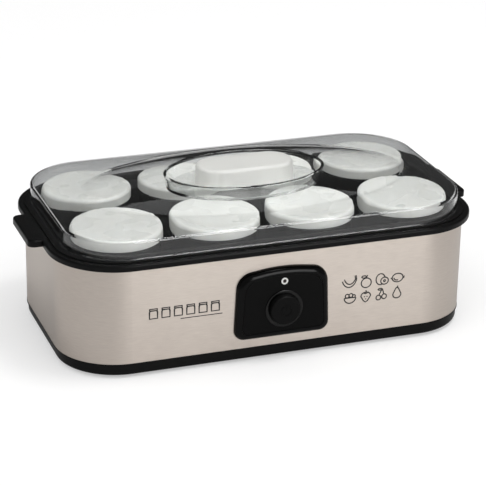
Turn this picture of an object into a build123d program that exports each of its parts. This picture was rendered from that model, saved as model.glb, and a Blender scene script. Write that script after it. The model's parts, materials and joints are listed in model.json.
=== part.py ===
from build123d import *
import math
import os

os.makedirs("parts", exist_ok=True)

# Eight-jar yogurt maker. X runs along its length, the controls face -Y, Z is up and
# the origin lies on the table under the middle of the machine. All sizes are in mm.

# ---------------------------------------------------------------- driving dimensions
# steel band
body_length = 321.0
body_width = 171.5
body_corner = 46.0
band_thickness = 0.6
band_bottom = 11.4
band_tongue = 1.4       # top edge of the band inside the rim's groove

# base tray and feet
base_bottom = 2.0
base_wall = 2.2
base_inset = 1.0
base_edge_radius = 2.6
base_lip_height = 1.2
spigot_wall = 1.8
spigot_height = 5.6
foot_radius = 7.5
foot_stem_radius = 3.0
foot_corner_reach = 30.0
foot_barb = 0.8
slot_length = 60.0
slot_width = 3.2
slot_pitch = 14.0
slot_count = 7

# top frame
rim_overhang_end = 4.5
rim_overhang_side = 6.85
rim_corner = 51.0
rim_thickness = 4.6
rim_edge_radius = 1.6
ear_width = 54.0
ear_reach = 9.8
ear_thickness = 5.4
ear_corner = 5.0

# inner well
ledge_inset = 4.6
ledge_height = 1.0
ledge_thickness = 1.8
well_wall = 2.0
well_length = 297.0
well_width = 151.5
well_corner = 37.5
well_floor_top = 24.0
well_floor_thickness = 2.2
well_shoulder_height = 5.8
well_floor_radius = 5.0
collar_height = 3.0

# jars
jar_columns = 4
jar_rows = 2
jar_pitch_x = 75.1
jar_pitch_y = 80.9
jar_height = 76.3
jar_radius = 32.5
jar_neck_radius = 30.4
jar_bead_radius = 31.7
jar_wall = 2.4
jar_base = 3.6
jar_seat_depth = 0.6
jar_stand_out = 13.2    # jar above the underside of the rim
cap_radius = 33.5
cap_wall = 1.5
cap_top_thickness = 1.8
cap_height = 8.0
cap_edge_radius = 2.4
cap_lip_height = 3.0
cap_lip_wall = 1.2

# clear cover
cover_wall = 2.0
cover_inset_end = 9.35
cover_inset_side = 6.2
cover_corner = 46.2
cover_headroom = 5.3    # above the caps, under the recess
crease_drop = 3.0       # heights of the cover below and above the recess floor
shoulder_rise = 1.2
dome_mid_rise = 7.0
dome_rise = 10.2
grip_rise = 16.0
shoulder_inset = 14.0
dome_half_length = 134.0
dome_half_width = 70.5
dome_mid_half_length = 97.0
dome_mid_half_width = 54.5
recess_half_length = 61.0
recess_half_width = 38.0
recess_draft = 2.0
grip_half_length = 38.0
grip_half_width = 17.0
grip_draft = 1.2
grip_edge_radius = 2.6
cover_edge_radius = 2.2
crest_width = 1.2

# control panel
panel_half_width = 37.4     # at its foot
panel_top_half_width = 35.2
panel_bottom = 18.6
panel_side_top = 69.0
panel_crown = 74.0
panel_depth = 5.2
panel_bevel = 4.6
panel_top_corner = 13.5
panel_foot_corner = 7.5
fascia_thickness = 1.2
window_width = 60.4
window_height = 48.4
window_corner = 10.0
window_centre_height = 46.5
button_height = 42.1
button_radius = 11.7
button_proud = 5.05
button_travel = 1.0
button_ring_radius = 14.65
button_ring_proud = 0.9
indicator_height = 63.8
indicator_radius = 2.6
lens_radius = 1.35

# control electronics
board_thickness = 1.6
board_width = 54.0
board_height = 44.0
board_standoff = 4.35
switch_size = 6.2
switch_depth = 3.5
plunger_radius = 1.6

# heater
heater_plate_length = 270.0
heater_plate_width = 132.0
heater_plate_thickness = 1.2
cable_radius = 1.2
cable_runs = 6
cable_pitch = 18.0
cable_half_run = 104.0
insulation_thickness = 0.8
post_radius = 4.5
post_x = 118.0
post_y = 52.0
screw_radius = 1.5
screw_head_radius = 3.0
screw_head_height = 2.6
screw_head_depth = 1.0
screw_length = 14.0
fuse_x = -36.0
thermostat_radius = 6.9
thermostat_height = 6.0
fuse_radius = 2.0

# power side
power_board_length = 70.0
power_board_width = 46.0
power_board_x = 72.0
power_board_y = 10.0
power_standoff = 2.0
board_hole_inset = 4.0
relay_length = 20.0
relay_width = 15.0
capacitor_length = 18.0
capacitor_width = 8.0
terminal_length = 26.0
terminal_width = 12.0
terminal_height = 9.0
terminal_pitch = 9.5
terminal_y = 56.0
gland_height = 18.5
gland_bore_radius = 3.2
gland_neck_radius = 5.0
gland_flange_radius = 6.8
gland_flange_thickness = 2.0
lead_radius = 0.8

# fits
moving_gap = 0.3        # between pieces that move apart
slip_gap = 0.1          # between pieces that stay together
cover_play = 0.5        # cover skirt around the well collar
button_play = 0.4       # button inside its ring

# ---------------------------------------------------------------- derived sizes
jar_floor = well_floor_top - jar_seat_depth + moving_gap
jar_top = jar_floor + jar_height
cap_underside = jar_top + moving_gap
cap_top = cap_underside + cap_top_thickness
cap_bottom = cap_top - cap_height

rim_bottom = jar_top - jar_stand_out
band_top = rim_bottom + band_tongue
well_shoulder_bottom = rim_bottom - well_shoulder_height
rim_length = body_length + 2 * rim_overhang_end
rim_width = body_width + 2 * rim_overhang_side
rim_top = rim_bottom + rim_thickness
ledge_length = rim_length - 2 * ledge_inset
ledge_width = rim_width - 2 * ledge_inset
ledge_corner = rim_corner - ledge_inset
ledge_top = rim_top + ledge_height
ledge_underside = ledge_top - ledge_thickness

cover_length = rim_length - 2 * cover_inset_end
cover_width = rim_width - 2 * cover_inset_side
cover_bottom = ledge_top + moving_gap
recess_floor = cap_top + cover_headroom + cover_wall
cover_crease_height = recess_floor - crease_drop
shoulder_top = recess_floor + shoulder_rise
dome_mid_height = recess_floor + dome_mid_rise
dome_top = recess_floor + dome_rise
grip_top = recess_floor + grip_rise

collar_inset = cover_wall + cover_play
collar_length = cover_length - 2 * collar_inset
collar_width = cover_width - 2 * collar_inset
collar_corner = cover_corner - collar_inset
collar_top = ledge_top + collar_height
well_underside = well_floor_top - well_floor_thickness

band_inner_length = body_length - 2 * band_thickness
band_inner_width = body_width - 2 * band_thickness
band_inner_corner = body_corner - band_thickness
front_face = body_width / 2
panel_face = front_face + panel_depth
base_floor = base_bottom + base_wall
base_top = band_bottom + spigot_height

plate_bottom = well_underside - heater_plate_thickness
cable_height = plate_bottom - cable_radius
insulation_top = cable_height - cable_radius - 0.4
insulation_bottom = insulation_top - insulation_thickness
post_bottom = base_floor + 8.8

bezel_wall_back = panel_face - fascia_thickness - 1.5
board_front = front_face - board_standoff
board_back = board_front - board_thickness
power_board_bottom = base_floor + power_standoff
power_board_top = power_board_bottom + board_thickness
board_hole_span_x = power_board_length - 2 * board_hole_inset
board_hole_span_y = power_board_width - 2 * board_hole_inset
gland_tail = panel_face + button_proud


# ---------------------------------------------------------------- shared shapes
def write(part, label):
    """Name one finished piece and write it."""
    part.label = label
    export_step(part, f"parts/{label}.step")


def panel_outline(plane, inset):
    """Control panel outline: arched top, wide top corners, sides that lean in, flat foot."""
    foot = panel_half_width - inset
    top = panel_top_half_width - inset
    low = panel_bottom + inset
    side = panel_side_top - inset
    crown = panel_crown - inset
    with BuildSketch(plane) as outline:
        with BuildLine():
            Line((-foot, low), (foot, low))
            Line((foot, low), (top, side))
            ThreePointArc((top, side), (0, crown), (-top, side))
            Line((-top, side), (-foot, low))
        make_face()
        fillet(outline.vertices().group_by(Axis.Y)[-1], radius=panel_top_corner - inset / 2)
        fillet(outline.vertices().group_by(Axis.Y)[0], radius=panel_foot_corner - inset / 2)
    return outline.sketch.face()


def front_plane(depth):
    """Plane facing the front at a distance from the middle: x right, y up."""
    return Plane.XZ.offset(depth)


def lead(points, radii, wire_radius=lead_radius):
    """Round wire through the given points, with a bend radius at each corner."""
    with BuildPart() as wire:
        with BuildLine() as route:
            FilletPolyline(*points, radius=radii)
        start = route.line @ 0
        with BuildSketch(Plane(origin=start, z_dir=route.line % 0)):
            Circle(wire_radius)
        sweep()
    return wire.part


# ---------------------------------------------------------------- base tray
with BuildPart() as base_tray:
    # side wall with a rolled-under lower edge
    with BuildSketch(Plane.XY.offset(base_bottom)):
        RectangleRounded(body_length - 2 * base_inset, body_width - 0.4, body_corner - 0.6)
    extrude(amount=band_bottom - base_lip_height - base_bottom)
    fillet(base_tray.edges().group_by(Axis.Z)[0], radius=base_edge_radius)
    # thin lip that carries the steel band
    with BuildSketch(Plane.XY.offset(band_bottom - base_lip_height)):
        RectangleRounded(body_length + 0.4, body_width + 0.4, body_corner + 0.2)
    extrude(amount=base_lip_height)
    # spigot inside the band
    with BuildSketch(Plane.XY.offset(band_bottom)):
        RectangleRounded(
            band_inner_length - 2 * slip_gap,
            band_inner_width - 2 * slip_gap,
            band_inner_corner - slip_gap,
        )
    extrude(amount=spigot_height)
    # hollow of the tray
    with BuildSketch(Plane.XY.offset(base_floor)):
        RectangleRounded(
            band_inner_length - 2 * spigot_wall,
            band_inner_width - 2 * spigot_wall,
            band_inner_corner - spigot_wall,
        )
    extrude(amount=base_top - base_floor, mode=Mode.SUBTRACT)
    # screw bosses under the well posts, with room for the screw heads below
    with BuildSketch(Plane.XY.offset(base_floor)):
        with GridLocations(2 * post_x, 2 * post_y, 2, 2):
            Circle(post_radius)
    extrude(amount=post_bottom - 0.2 - base_floor)
    with Locations(Plane.XY.offset(base_bottom)):
        with GridLocations(2 * post_x, 2 * post_y, 2, 2):
            Cylinder(
                screw_radius + 0.2,
                post_bottom - base_bottom,
                align=(Align.CENTER, Align.CENTER, Align.MIN),
                mode=Mode.SUBTRACT,
            )
            Cylinder(
                screw_head_radius + moving_gap,
                screw_head_depth + screw_head_height,
                align=(Align.CENTER, Align.CENTER, Align.MIN),
                mode=Mode.SUBTRACT,
            )
    # standoffs of the power board
    with BuildSketch(Plane.XY.offset(base_floor)):
        with Locations((power_board_x, power_board_y)):
            with GridLocations(board_hole_span_x, board_hole_span_y, 2, 2):
                Circle(2.8)
    extrude(amount=power_standoff)
    # holes for the stems of the feet
    foot_x = body_length / 2 - body_corner + foot_corner_reach * math.cos(math.radians(45))
    foot_y = body_width / 2 - body_corner + foot_corner_reach * math.sin(math.radians(45))
    with BuildSketch(Plane.XY.offset(base_bottom)):
        with GridLocations(2 * foot_x, 2 * foot_y, 2, 2):
            Circle(foot_stem_radius + slip_gap)
    extrude(amount=base_wall, mode=Mode.SUBTRACT)
    # air slots in the floor
    with BuildSketch(Plane.XY.offset(base_bottom)):
        with GridLocations(slot_pitch, 0, slot_count, 1):
            SlotOverall(slot_length, slot_width, rotation=90)
    extrude(amount=base_wall, mode=Mode.SUBTRACT)
    # notch in the spigot for the cord bushing
    with BuildSketch(front_plane(-front_face)):
        with Locations((0, gland_height)):
            Circle(gland_neck_radius + slip_gap)
    extrude(amount=spigot_wall + band_thickness + 1, mode=Mode.SUBTRACT)
write(base_tray.part, "base_tray")

with BuildPart() as rubber_feet:
    with BuildSketch(Plane.XY):
        with GridLocations(2 * foot_x, 2 * foot_y, 2, 2):
            Circle(foot_radius)
    extrude(amount=base_bottom)
    chamfer(rubber_feet.edges().group_by(Axis.Z)[0], length=0.6)
    with BuildSketch(Plane.XY.offset(base_bottom)):
        with GridLocations(2 * foot_x, 2 * foot_y, 2, 2):
            Circle(foot_stem_radius)
    extrude(amount=base_wall)
    # barb that holds each foot in its hole
    with BuildSketch(Plane.XY.offset(base_floor)):
        with GridLocations(2 * foot_x, 2 * foot_y, 2, 2):
            Circle(foot_stem_radius + foot_barb)
    extrude(amount=1.6, taper=20)
write(rubber_feet.part, "rubber_feet")

with BuildPart() as base_screws:
    head_bottom = base_bottom + screw_head_depth
    with BuildSketch(Plane.XY.offset(head_bottom)):
        with GridLocations(2 * post_x, 2 * post_y, 2, 2):
            Circle(screw_head_radius)
    extrude(amount=screw_head_height)
    with BuildSketch(Plane.XY.offset(head_bottom + screw_head_height)):
        with GridLocations(2 * post_x, 2 * post_y, 2, 2):
            Circle(screw_radius)
    extrude(amount=screw_length)
    # cross recess in each head
    with BuildSketch(Plane.XY.offset(head_bottom)):
        with GridLocations(2 * post_x, 2 * post_y, 2, 2):
            Rectangle(3.4, 0.8)
            Rectangle(0.8, 3.4)
    extrude(amount=1.4, mode=Mode.SUBTRACT)
write(base_screws.part, "base_screws")

# ---------------------------------------------------------------- steel band
with BuildPart() as steel_band:
    with BuildSketch(Plane.XY.offset(band_bottom)):
        RectangleRounded(body_length, body_width, body_corner)
        RectangleRounded(
            band_inner_length, band_inner_width, band_inner_corner, mode=Mode.SUBTRACT
        )
    extrude(amount=band_top - band_bottom)
    # window behind the control panel
    with BuildSketch(front_plane(front_face + 1)):
        with Locations((0, window_centre_height)):
            RectangleRounded(window_width, window_height, window_corner)
    extrude(amount=-(band_thickness + 2), mode=Mode.SUBTRACT)
    # hole for the cord bushing
    with BuildSketch(front_plane(-front_face - 1)):
        with Locations((0, gland_height)):
            Circle(gland_neck_radius + slip_gap)
    extrude(amount=band_thickness + 2, mode=Mode.SUBTRACT)
write(steel_band.part, "steel_band")

# ---------------------------------------------------------------- top frame
with BuildPart() as top_frame:
    with BuildSketch(Plane.XY.offset(rim_bottom)):
        RectangleRounded(rim_length, rim_width, rim_corner)
    extrude(amount=rim_thickness)
    # ear grips, one at each end
    with BuildSketch(Plane.XY.offset(rim_top - ear_thickness)):
        RectangleRounded(rim_length + 2 * ear_reach, ear_width, ear_corner)
        Rectangle(ledge_length, ear_width, mode=Mode.SUBTRACT)
    extrude(amount=ear_thickness)
    # soft outer edges
    outer_edges = top_frame.edges().filter_by(
        lambda edge: abs(edge.center().X) > ledge_length / 2 or abs(edge.center().Y) > ledge_width / 2
    )
    fillet(outer_edges.group_by(Axis.Z)[-1], radius=rim_edge_radius)
    # opening for the well
    with BuildSketch(Plane.XY.offset(rim_bottom - 2)):
        RectangleRounded(
            collar_length + 2 * slip_gap, collar_width + 2 * slip_gap, collar_corner + slip_gap
        )
    extrude(amount=rim_thickness + 4, mode=Mode.SUBTRACT)
    # seat of the well's ledge
    with BuildSketch(Plane.XY.offset(ledge_underside)):
        RectangleRounded(
            ledge_length + 2 * slip_gap, ledge_width + 2 * slip_gap, ledge_corner + slip_gap
        )
    extrude(amount=rim_thickness, mode=Mode.SUBTRACT)
    # groove that takes the top edge of the steel band
    with BuildSketch(Plane.XY.offset(rim_bottom - 1)):
        RectangleRounded(
            body_length + 2 * slip_gap, body_width + 2 * slip_gap, body_corner + slip_gap
        )
        RectangleRounded(
            band_inner_length - 2 * slip_gap,
            band_inner_width - 2 * slip_gap,
            band_inner_corner - slip_gap,
            mode=Mode.SUBTRACT,
        )
    extrude(amount=band_top - rim_bottom + 1 + slip_gap, mode=Mode.SUBTRACT)
write(top_frame.part, "top_frame")

# ---------------------------------------------------------------- inner well
with BuildPart() as inner_well:
    # deep tub
    with BuildSketch(Plane.XY.offset(well_underside)):
        RectangleRounded(
            well_length + 2 * well_wall, well_width + 2 * well_wall, well_corner + well_wall
        )
    extrude(amount=well_shoulder_bottom - well_underside)
    fillet(inner_well.edges().group_by(Axis.Z)[0], radius=well_floor_radius)
    # shoulder that flares out to the collar
    with BuildSketch(Plane.XY.offset(well_shoulder_bottom)):
        RectangleRounded(
            well_length + 2 * well_wall, well_width + 2 * well_wall, well_corner + well_wall
        )
    with BuildSketch(Plane.XY.offset(rim_bottom)):
        RectangleRounded(collar_length, collar_width, collar_corner)
    loft(ruled=True)
    with BuildSketch(Plane.XY.offset(rim_bottom)):
        RectangleRounded(collar_length, collar_width, collar_corner)
    extrude(amount=collar_top - rim_bottom)
    # ledge that the cover stands on
    with BuildSketch(Plane.XY.offset(ledge_underside)):
        RectangleRounded(ledge_length, ledge_width, ledge_corner)
    extrude(amount=ledge_thickness)
    fillet(
        inner_well.edges().filter_by_position(Axis.Z, ledge_top - 0.01, ledge_top + 0.01)
        .filter_by(lambda edge: edge.length > 10)
        .group_by(SortBy.DISTANCE)[-1],
        radius=0.4,
    )
    # hollow
    with BuildSketch(Plane.XY.offset(well_floor_top)):
        RectangleRounded(well_length, well_width, well_corner)
    extrude(amount=well_shoulder_bottom + 1.0 - well_floor_top, mode=Mode.SUBTRACT)
    with BuildSketch(Plane.XY.offset(well_shoulder_bottom + 1.0)):
        RectangleRounded(well_length, well_width, well_corner)
    with BuildSketch(Plane.XY.offset(rim_bottom + 1.0)):
        RectangleRounded(
            collar_length - 2 * well_wall, collar_width - 2 * well_wall, collar_corner - well_wall
        )
    loft(ruled=True, mode=Mode.SUBTRACT)
    with BuildSketch(Plane.XY.offset(rim_bottom + 1.0)):
        RectangleRounded(
            collar_length - 2 * well_wall, collar_width - 2 * well_wall, collar_corner - well_wall
        )
    extrude(amount=collar_top - rim_bottom, mode=Mode.SUBTRACT)
    # shallow seats that place the jars
    with BuildSketch(Plane.XY.offset(well_floor_top)):
        with GridLocations(jar_pitch_x, jar_pitch_y, jar_columns, jar_rows):
            Circle(jar_radius + 0.6)
    extrude(amount=-jar_seat_depth, mode=Mode.SUBTRACT)
    # screw posts under the floor
    with BuildSketch(Plane.XY.offset(well_underside)):
        with GridLocations(2 * post_x, 2 * post_y, 2, 2):
            Circle(post_radius)
            Circle(screw_radius + 0.1, mode=Mode.SUBTRACT)
    extrude(amount=post_bottom - well_underside)
write(inner_well.part, "inner_well")

# ---------------------------------------------------------------- heater
with BuildPart() as heater_plate:
    with BuildSketch(Plane.XY.offset(plate_bottom)):
        RectangleRounded(heater_plate_length, heater_plate_width, 28)
        with GridLocations(2 * post_x, 2 * post_y, 2, 2):
            Circle(post_radius + 0.5, mode=Mode.SUBTRACT)
    extrude(amount=heater_plate_thickness)
write(heater_plate.part, "heater_plate")

cable_points = []
for run in range(cable_runs):
    run_y = (run - (cable_runs - 1) / 2) * cable_pitch
    ends = (-cable_half_run, cable_half_run)
    if run % 2 == 1:
        ends = (cable_half_run, -cable_half_run)
    for end_x in ends:
        cable_points.append((end_x, run_y, cable_height))
heating_cable = lead(cable_points, cable_pitch / 2 - 0.1, cable_radius)
write(heating_cable, "heating_cable")

with BuildPart() as insulation_sheet:
    with BuildSketch(Plane.XY.offset(insulation_bottom)):
        RectangleRounded(heater_plate_length - 6, heater_plate_width - 6, 26)
        with GridLocations(2 * post_x, 2 * post_y, 2, 2):
            Circle(post_radius + 0.5, mode=Mode.SUBTRACT)
        Circle(thermostat_radius + 1.0, mode=Mode.SUBTRACT)
        with Locations((fuse_x, 0)):
            Rectangle(22, 11, mode=Mode.SUBTRACT)
        # slots where the cable ends come through
        with Locations((-cable_half_run - 5, (cable_runs - 1) / 2 * cable_pitch)):
            Circle(3.4, mode=Mode.SUBTRACT)
        with Locations((-cable_half_run - 5, -(cable_runs - 1) / 2 * cable_pitch)):
            Circle(3.4, mode=Mode.SUBTRACT)
    extrude(amount=insulation_thickness)
write(insulation_sheet.part, "insulation_sheet")

with BuildPart() as sheet_retainers:
    with BuildSketch(Plane.XY.offset(insulation_bottom)):
        with GridLocations(2 * post_x, 2 * post_y, 2, 2):
            Circle(post_radius + 3.0)
            Circle(post_radius, mode=Mode.SUBTRACT)
            with PolarLocations(post_radius, 6):
                Circle(0.7, mode=Mode.SUBTRACT)
    extrude(amount=-0.6)
write(sheet_retainers.part, "sheet_retainers")

with BuildPart() as thermostat:
    with BuildSketch(Plane.XY.offset(plate_bottom)):
        Circle(thermostat_radius)
    extrude(amount=-thermostat_height)
    fillet(thermostat.edges().group_by(Axis.Z)[0], radius=0.8)
    # two flat terminals
    with BuildSketch(Plane.XY.offset(plate_bottom - thermostat_height)):
        with GridLocations(6.0, 0, 2, 1):
            Rectangle(0.6, 3.0)
    extrude(amount=-2.4)
write(thermostat.part, "thermostat")

fuse_height = plate_bottom - fuse_radius - 0.1
with BuildPart() as thermal_fuse:
    with BuildSketch(Plane(origin=(fuse_x - 6, 0, fuse_height), z_dir=(1, 0, 0))):
        Circle(fuse_radius)
    extrude(amount=12)
    fillet(thermal_fuse.edges().filter_by(GeomType.CIRCLE), radius=0.7)
    with BuildSketch(Plane(origin=(fuse_x - 9, 0, fuse_height), z_dir=(1, 0, 0))):
        Circle(0.5)
    extrude(amount=18)
write(thermal_fuse.part, "thermal_fuse")

strap_inner = fuse_radius + slip_gap
strap_outer = strap_inner + 0.6
strap_foot = strap_outer + 2.8
with BuildPart() as fuse_strap:
    # legs, half-round underside and two feet, bent from one strip
    with BuildSketch(Plane(origin=(fuse_x - 2, 0, plate_bottom), x_dir=(0, 1, 0), z_dir=(1, 0, 0))):
        with BuildLine():
            Polyline((-strap_foot, 0), (-strap_inner, 0), (-strap_inner, -strap_inner))
            ThreePointArc((-strap_inner, -strap_inner), (0, -2 * strap_inner), (strap_inner, -strap_inner))
            Polyline((strap_inner, -strap_inner), (strap_inner, 0), (strap_foot, 0), (strap_foot, -0.6))
            Polyline((strap_foot, -0.6), (strap_outer, -0.6), (strap_outer, -strap_inner))
            ThreePointArc(
                (strap_outer, -strap_inner),
                (0, -strap_inner - strap_outer),
                (-strap_outer, -strap_inner),
            )
            Polyline((-strap_outer, -strap_inner), (-strap_outer, -0.6), (-strap_foot, -0.6))
            Line((-strap_foot, -0.6), (-strap_foot, 0))
        make_face()
    extrude(amount=4.0)
write(fuse_strap.part, "fuse_strap")

# ---------------------------------------------------------------- control panel
bezel_screw_x = board_width / 2 - 4
bezel_screw_rise = board_height / 2 - 4
sleeve_radius = button_radius + button_play + 0.6

with BuildPart() as control_bezel:
    # raised frame that narrows towards the front
    loft([
        panel_outline(front_plane(front_face), 0),
        panel_outline(front_plane(panel_face), panel_bevel),
    ], ruled=True)
    # pocket of the fascia
    extrude(
        panel_outline(front_plane(panel_face), panel_bevel + 0.5),
        amount=-fascia_thickness,
        mode=Mode.SUBTRACT,
    )
    # hollow behind the fascia wall
    with BuildSketch(front_plane(front_face)):
        with Locations((0, window_centre_height)):
            RectangleRounded(window_width - 4.4, window_height - 4.4, window_corner - 2.2)
    extrude(amount=bezel_wall_back - front_face, mode=Mode.SUBTRACT)
    # rim that passes through the window in the steel band
    with BuildSketch(front_plane(front_face)):
        with Locations((0, window_centre_height)):
            RectangleRounded(window_width - 0.4, window_height - 0.4, window_corner - 0.2)
            RectangleRounded(
                window_width - 4.4, window_height - 4.4, window_corner - 2.2, mode=Mode.SUBTRACT
            )
    extrude(amount=-2.4)
    # snap lips behind the band, above and below
    with BuildSketch(front_plane(front_face - band_thickness - 0.2)):
        with Locations((0, window_centre_height)):
            with GridLocations(0, window_height - 0.4, 1, 2):
                Rectangle(26, 2.4)
    extrude(amount=-1.2)
    # bosses of the control board
    with BuildSketch(front_plane(board_front)):
        with Locations((0, window_centre_height)):
            with GridLocations(2 * bezel_screw_x, 2 * bezel_screw_rise, 2, 2):
                Circle(2.6)
    extrude(amount=bezel_wall_back - board_front)
    with BuildSketch(front_plane(board_front)):
        with Locations((0, window_centre_height)):
            with GridLocations(2 * bezel_screw_x, 2 * bezel_screw_rise, 2, 2):
                Circle(1.1)
    extrude(amount=4.4, mode=Mode.SUBTRACT)
    # passages of the button and of the indicator
    with BuildSketch(front_plane(panel_face)):
        with Locations((0, button_height)):
            Circle(sleeve_radius + slip_gap)
        with Locations((0, indicator_height)):
            Circle(indicator_radius + slip_gap)
    extrude(amount=-panel_depth, mode=Mode.SUBTRACT)
write(control_bezel.part, "control_bezel")

with BuildPart() as control_fascia:
    extrude(
        panel_outline(front_plane(panel_face), panel_bevel + 0.6),
        amount=-fascia_thickness,
    )
    with BuildSketch(front_plane(panel_face)):
        with Locations((0, button_height)):
            Circle(sleeve_radius + slip_gap)
        with Locations((0, indicator_height)):
            Circle(indicator_radius + slip_gap)
    extrude(amount=-fascia_thickness, mode=Mode.SUBTRACT)
write(control_fascia.part, "control_fascia")

with BuildPart() as button_ring:
    with BuildSketch(front_plane(panel_face)):
        with Locations((0, button_height)):
            Circle(button_ring_radius)
    extrude(amount=button_ring_proud)
    fillet(button_ring.edges().group_by(Axis.Y)[0], radius=0.5)
    with BuildSketch(front_plane(panel_face)):
        with Locations((0, button_height)):
            Circle(sleeve_radius)
    extrude(amount=bezel_wall_back - panel_face)
    with BuildSketch(front_plane(panel_face + button_ring_proud)):
        with Locations((0, button_height)):
            Circle(button_radius + button_play)
    extrude(amount=-(panel_depth + button_ring_proud), mode=Mode.SUBTRACT)
write(button_ring.part, "button_ring")

flange_front = bezel_wall_back - moving_gap
plunger_front = board_front + switch_depth + button_travel + slip_gap
with BuildPart() as power_button:
    # round cap
    with BuildSketch(front_plane(flange_front - 1.0)):
        with Locations((0, button_height)):
            Circle(button_radius)
    extrude(amount=panel_face + button_proud - flange_front + 1.0)
    fillet(power_button.edges().group_by(Axis.Y)[0], radius=1.4)
    # hollow back
    with BuildSketch(front_plane(flange_front - 1.0)):
        with Locations((0, button_height)):
            Circle(button_radius - 2.0)
    extrude(amount=panel_depth + button_proud - 2.6, mode=Mode.SUBTRACT)
    # flange that keeps it in the bezel
    with BuildSketch(front_plane(flange_front)):
        with Locations((0, button_height)):
            Circle(sleeve_radius + 1.0)
            Circle(button_radius - 2.0, mode=Mode.SUBTRACT)
    extrude(amount=-1.0)
    # stem that reaches the switch
    with BuildSketch(front_plane(plunger_front)):
        with Locations((0, button_height)):
            Circle(2.0)
    extrude(until=Until.NEXT)
    # engraved power sign: an open ring and a bar
    with BuildSketch(front_plane(panel_face + button_proud)):
        with Locations((0, button_height)):
            Circle(4.2)
            Circle(3.5, mode=Mode.SUBTRACT)
        with Locations((0, button_height + 4.2)):
            Rectangle(3.0, 4.0, mode=Mode.SUBTRACT)
        with Locations((0, button_height + 3.0)):
            Rectangle(0.7, 4.2)
    extrude(amount=-0.3, mode=Mode.SUBTRACT)
write(power_button.part, "power_button")

with BuildPart() as indicator_ring:
    with BuildSketch(front_plane(panel_face + 0.4)):
        with Locations((0, indicator_height)):
            Circle(indicator_radius)
            Circle(lens_radius + slip_gap, mode=Mode.SUBTRACT)
    extrude(amount=bezel_wall_back - panel_face - 0.9)
    with BuildSketch(front_plane(bezel_wall_back)):
        with Locations((0, indicator_height)):
            Circle(indicator_radius + 0.9)
            Circle(lens_radius + slip_gap, mode=Mode.SUBTRACT)
    extrude(amount=-0.8)
write(indicator_ring.part, "indicator_ring")

with BuildPart() as indicator_lens:
    with BuildSketch(front_plane(bezel_wall_back - 0.8)):
        with Locations((0, indicator_height)):
            Circle(lens_radius)
    extrude(amount=panel_face - bezel_wall_back + 1.0)
write(indicator_lens.part, "indicator_lens")

# ---------------------------------------------------------------- control board
with BuildPart() as control_board:
    with BuildSketch(front_plane(board_back)):
        with Locations((0, window_centre_height)):
            RectangleRounded(board_width, board_height, 2)
            with GridLocations(2 * bezel_screw_x, 2 * bezel_screw_rise, 2, 2):
                Circle(1.2, mode=Mode.SUBTRACT)
    extrude(amount=board_thickness)
write(control_board.part, "control_board")

with BuildPart() as board_screws:
    with BuildSketch(front_plane(board_back)):
        with Locations((0, window_centre_height)):
            with GridLocations(2 * bezel_screw_x, 2 * bezel_screw_rise, 2, 2):
                Circle(1.9)
    extrude(amount=-1.2)
    with BuildSketch(front_plane(board_back)):
        with Locations((0, window_centre_height)):
            with GridLocations(2 * bezel_screw_x, 2 * bezel_screw_rise, 2, 2):
                Circle(1.0)
    extrude(amount=5.0)
write(board_screws.part, "board_screws")

with BuildPart() as tact_switch:
    with BuildSketch(front_plane(board_front)):
        with Locations((0, button_height)):
            RectangleRounded(switch_size, switch_size, 0.5)
            Circle(plunger_radius + 0.2, mode=Mode.SUBTRACT)
    extrude(amount=switch_depth)
write(tact_switch.part, "tact_switch")

with BuildPart() as switch_plunger:
    with BuildSketch(front_plane(plunger_front)):
        with Locations((0, button_height)):
            Circle(plunger_radius)
    extrude(amount=-(plunger_front - board_front - button_travel - 0.3))
write(switch_plunger.part, "switch_plunger")

with BuildPart() as indicator_led:
    with BuildSketch(front_plane(board_front)):
        with Locations((0, indicator_height)):
            Circle(1.7)
    extrude(amount=1.0)
    with BuildSketch(front_plane(board_front + 1.0)):
        with Locations((0, indicator_height)):
            Circle(1.4)
    extrude(amount=3.0)
    fillet(indicator_led.edges().group_by(Axis.Y)[0], radius=1.2)
write(indicator_led.part, "indicator_led")

# ---------------------------------------------------------------- power side in the base
board_corner = (power_board_x - power_board_length / 2, power_board_y - power_board_width / 2)

with BuildPart() as power_board:
    with BuildSketch(Plane.XY.offset(power_board_bottom)):
        with Locations((power_board_x, power_board_y)):
            RectangleRounded(power_board_length, power_board_width, 2)
            with GridLocations(board_hole_span_x, board_hole_span_y, 2, 2):
                Circle(1.3, mode=Mode.SUBTRACT)
    extrude(amount=board_thickness)
write(power_board.part, "power_board")

with BuildPart() as power_board_screws:
    with BuildSketch(Plane.XY.offset(power_board_top)):
        with Locations((power_board_x, power_board_y)):
            with GridLocations(board_hole_span_x, board_hole_span_y, 2, 2):
                Circle(2.4)
    extrude(amount=1.6)
    with BuildSketch(Plane.XY.offset(power_board_top)):
        with Locations((power_board_x, power_board_y)):
            with GridLocations(board_hole_span_x, board_hole_span_y, 2, 2):
                Circle(1.2)
    extrude(amount=-board_thickness)
write(power_board_screws.part, "power_board_screws")

with BuildPart() as relay:
    with BuildSketch(Plane.XY.offset(power_board_top)):
        with Locations((power_board_x + 14, power_board_y)):
            RectangleRounded(relay_length, relay_width, 0.8)
    extrude(amount=insulation_bottom - power_board_top - 1.0)
    fillet(relay.edges().group_by(Axis.Z)[-1], radius=0.5)
write(relay.part, "relay")

with BuildPart() as dropper_capacitor:
    with BuildSketch(Plane.XY.offset(power_board_top)):
        with Locations((power_board_x - 12, power_board_y + 8)):
            RectangleRounded(capacitor_length, capacitor_width, 1.5)
    extrude(amount=insulation_bottom - power_board_top - 1.4)
write(dropper_capacitor.part, "dropper_capacitor")

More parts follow.
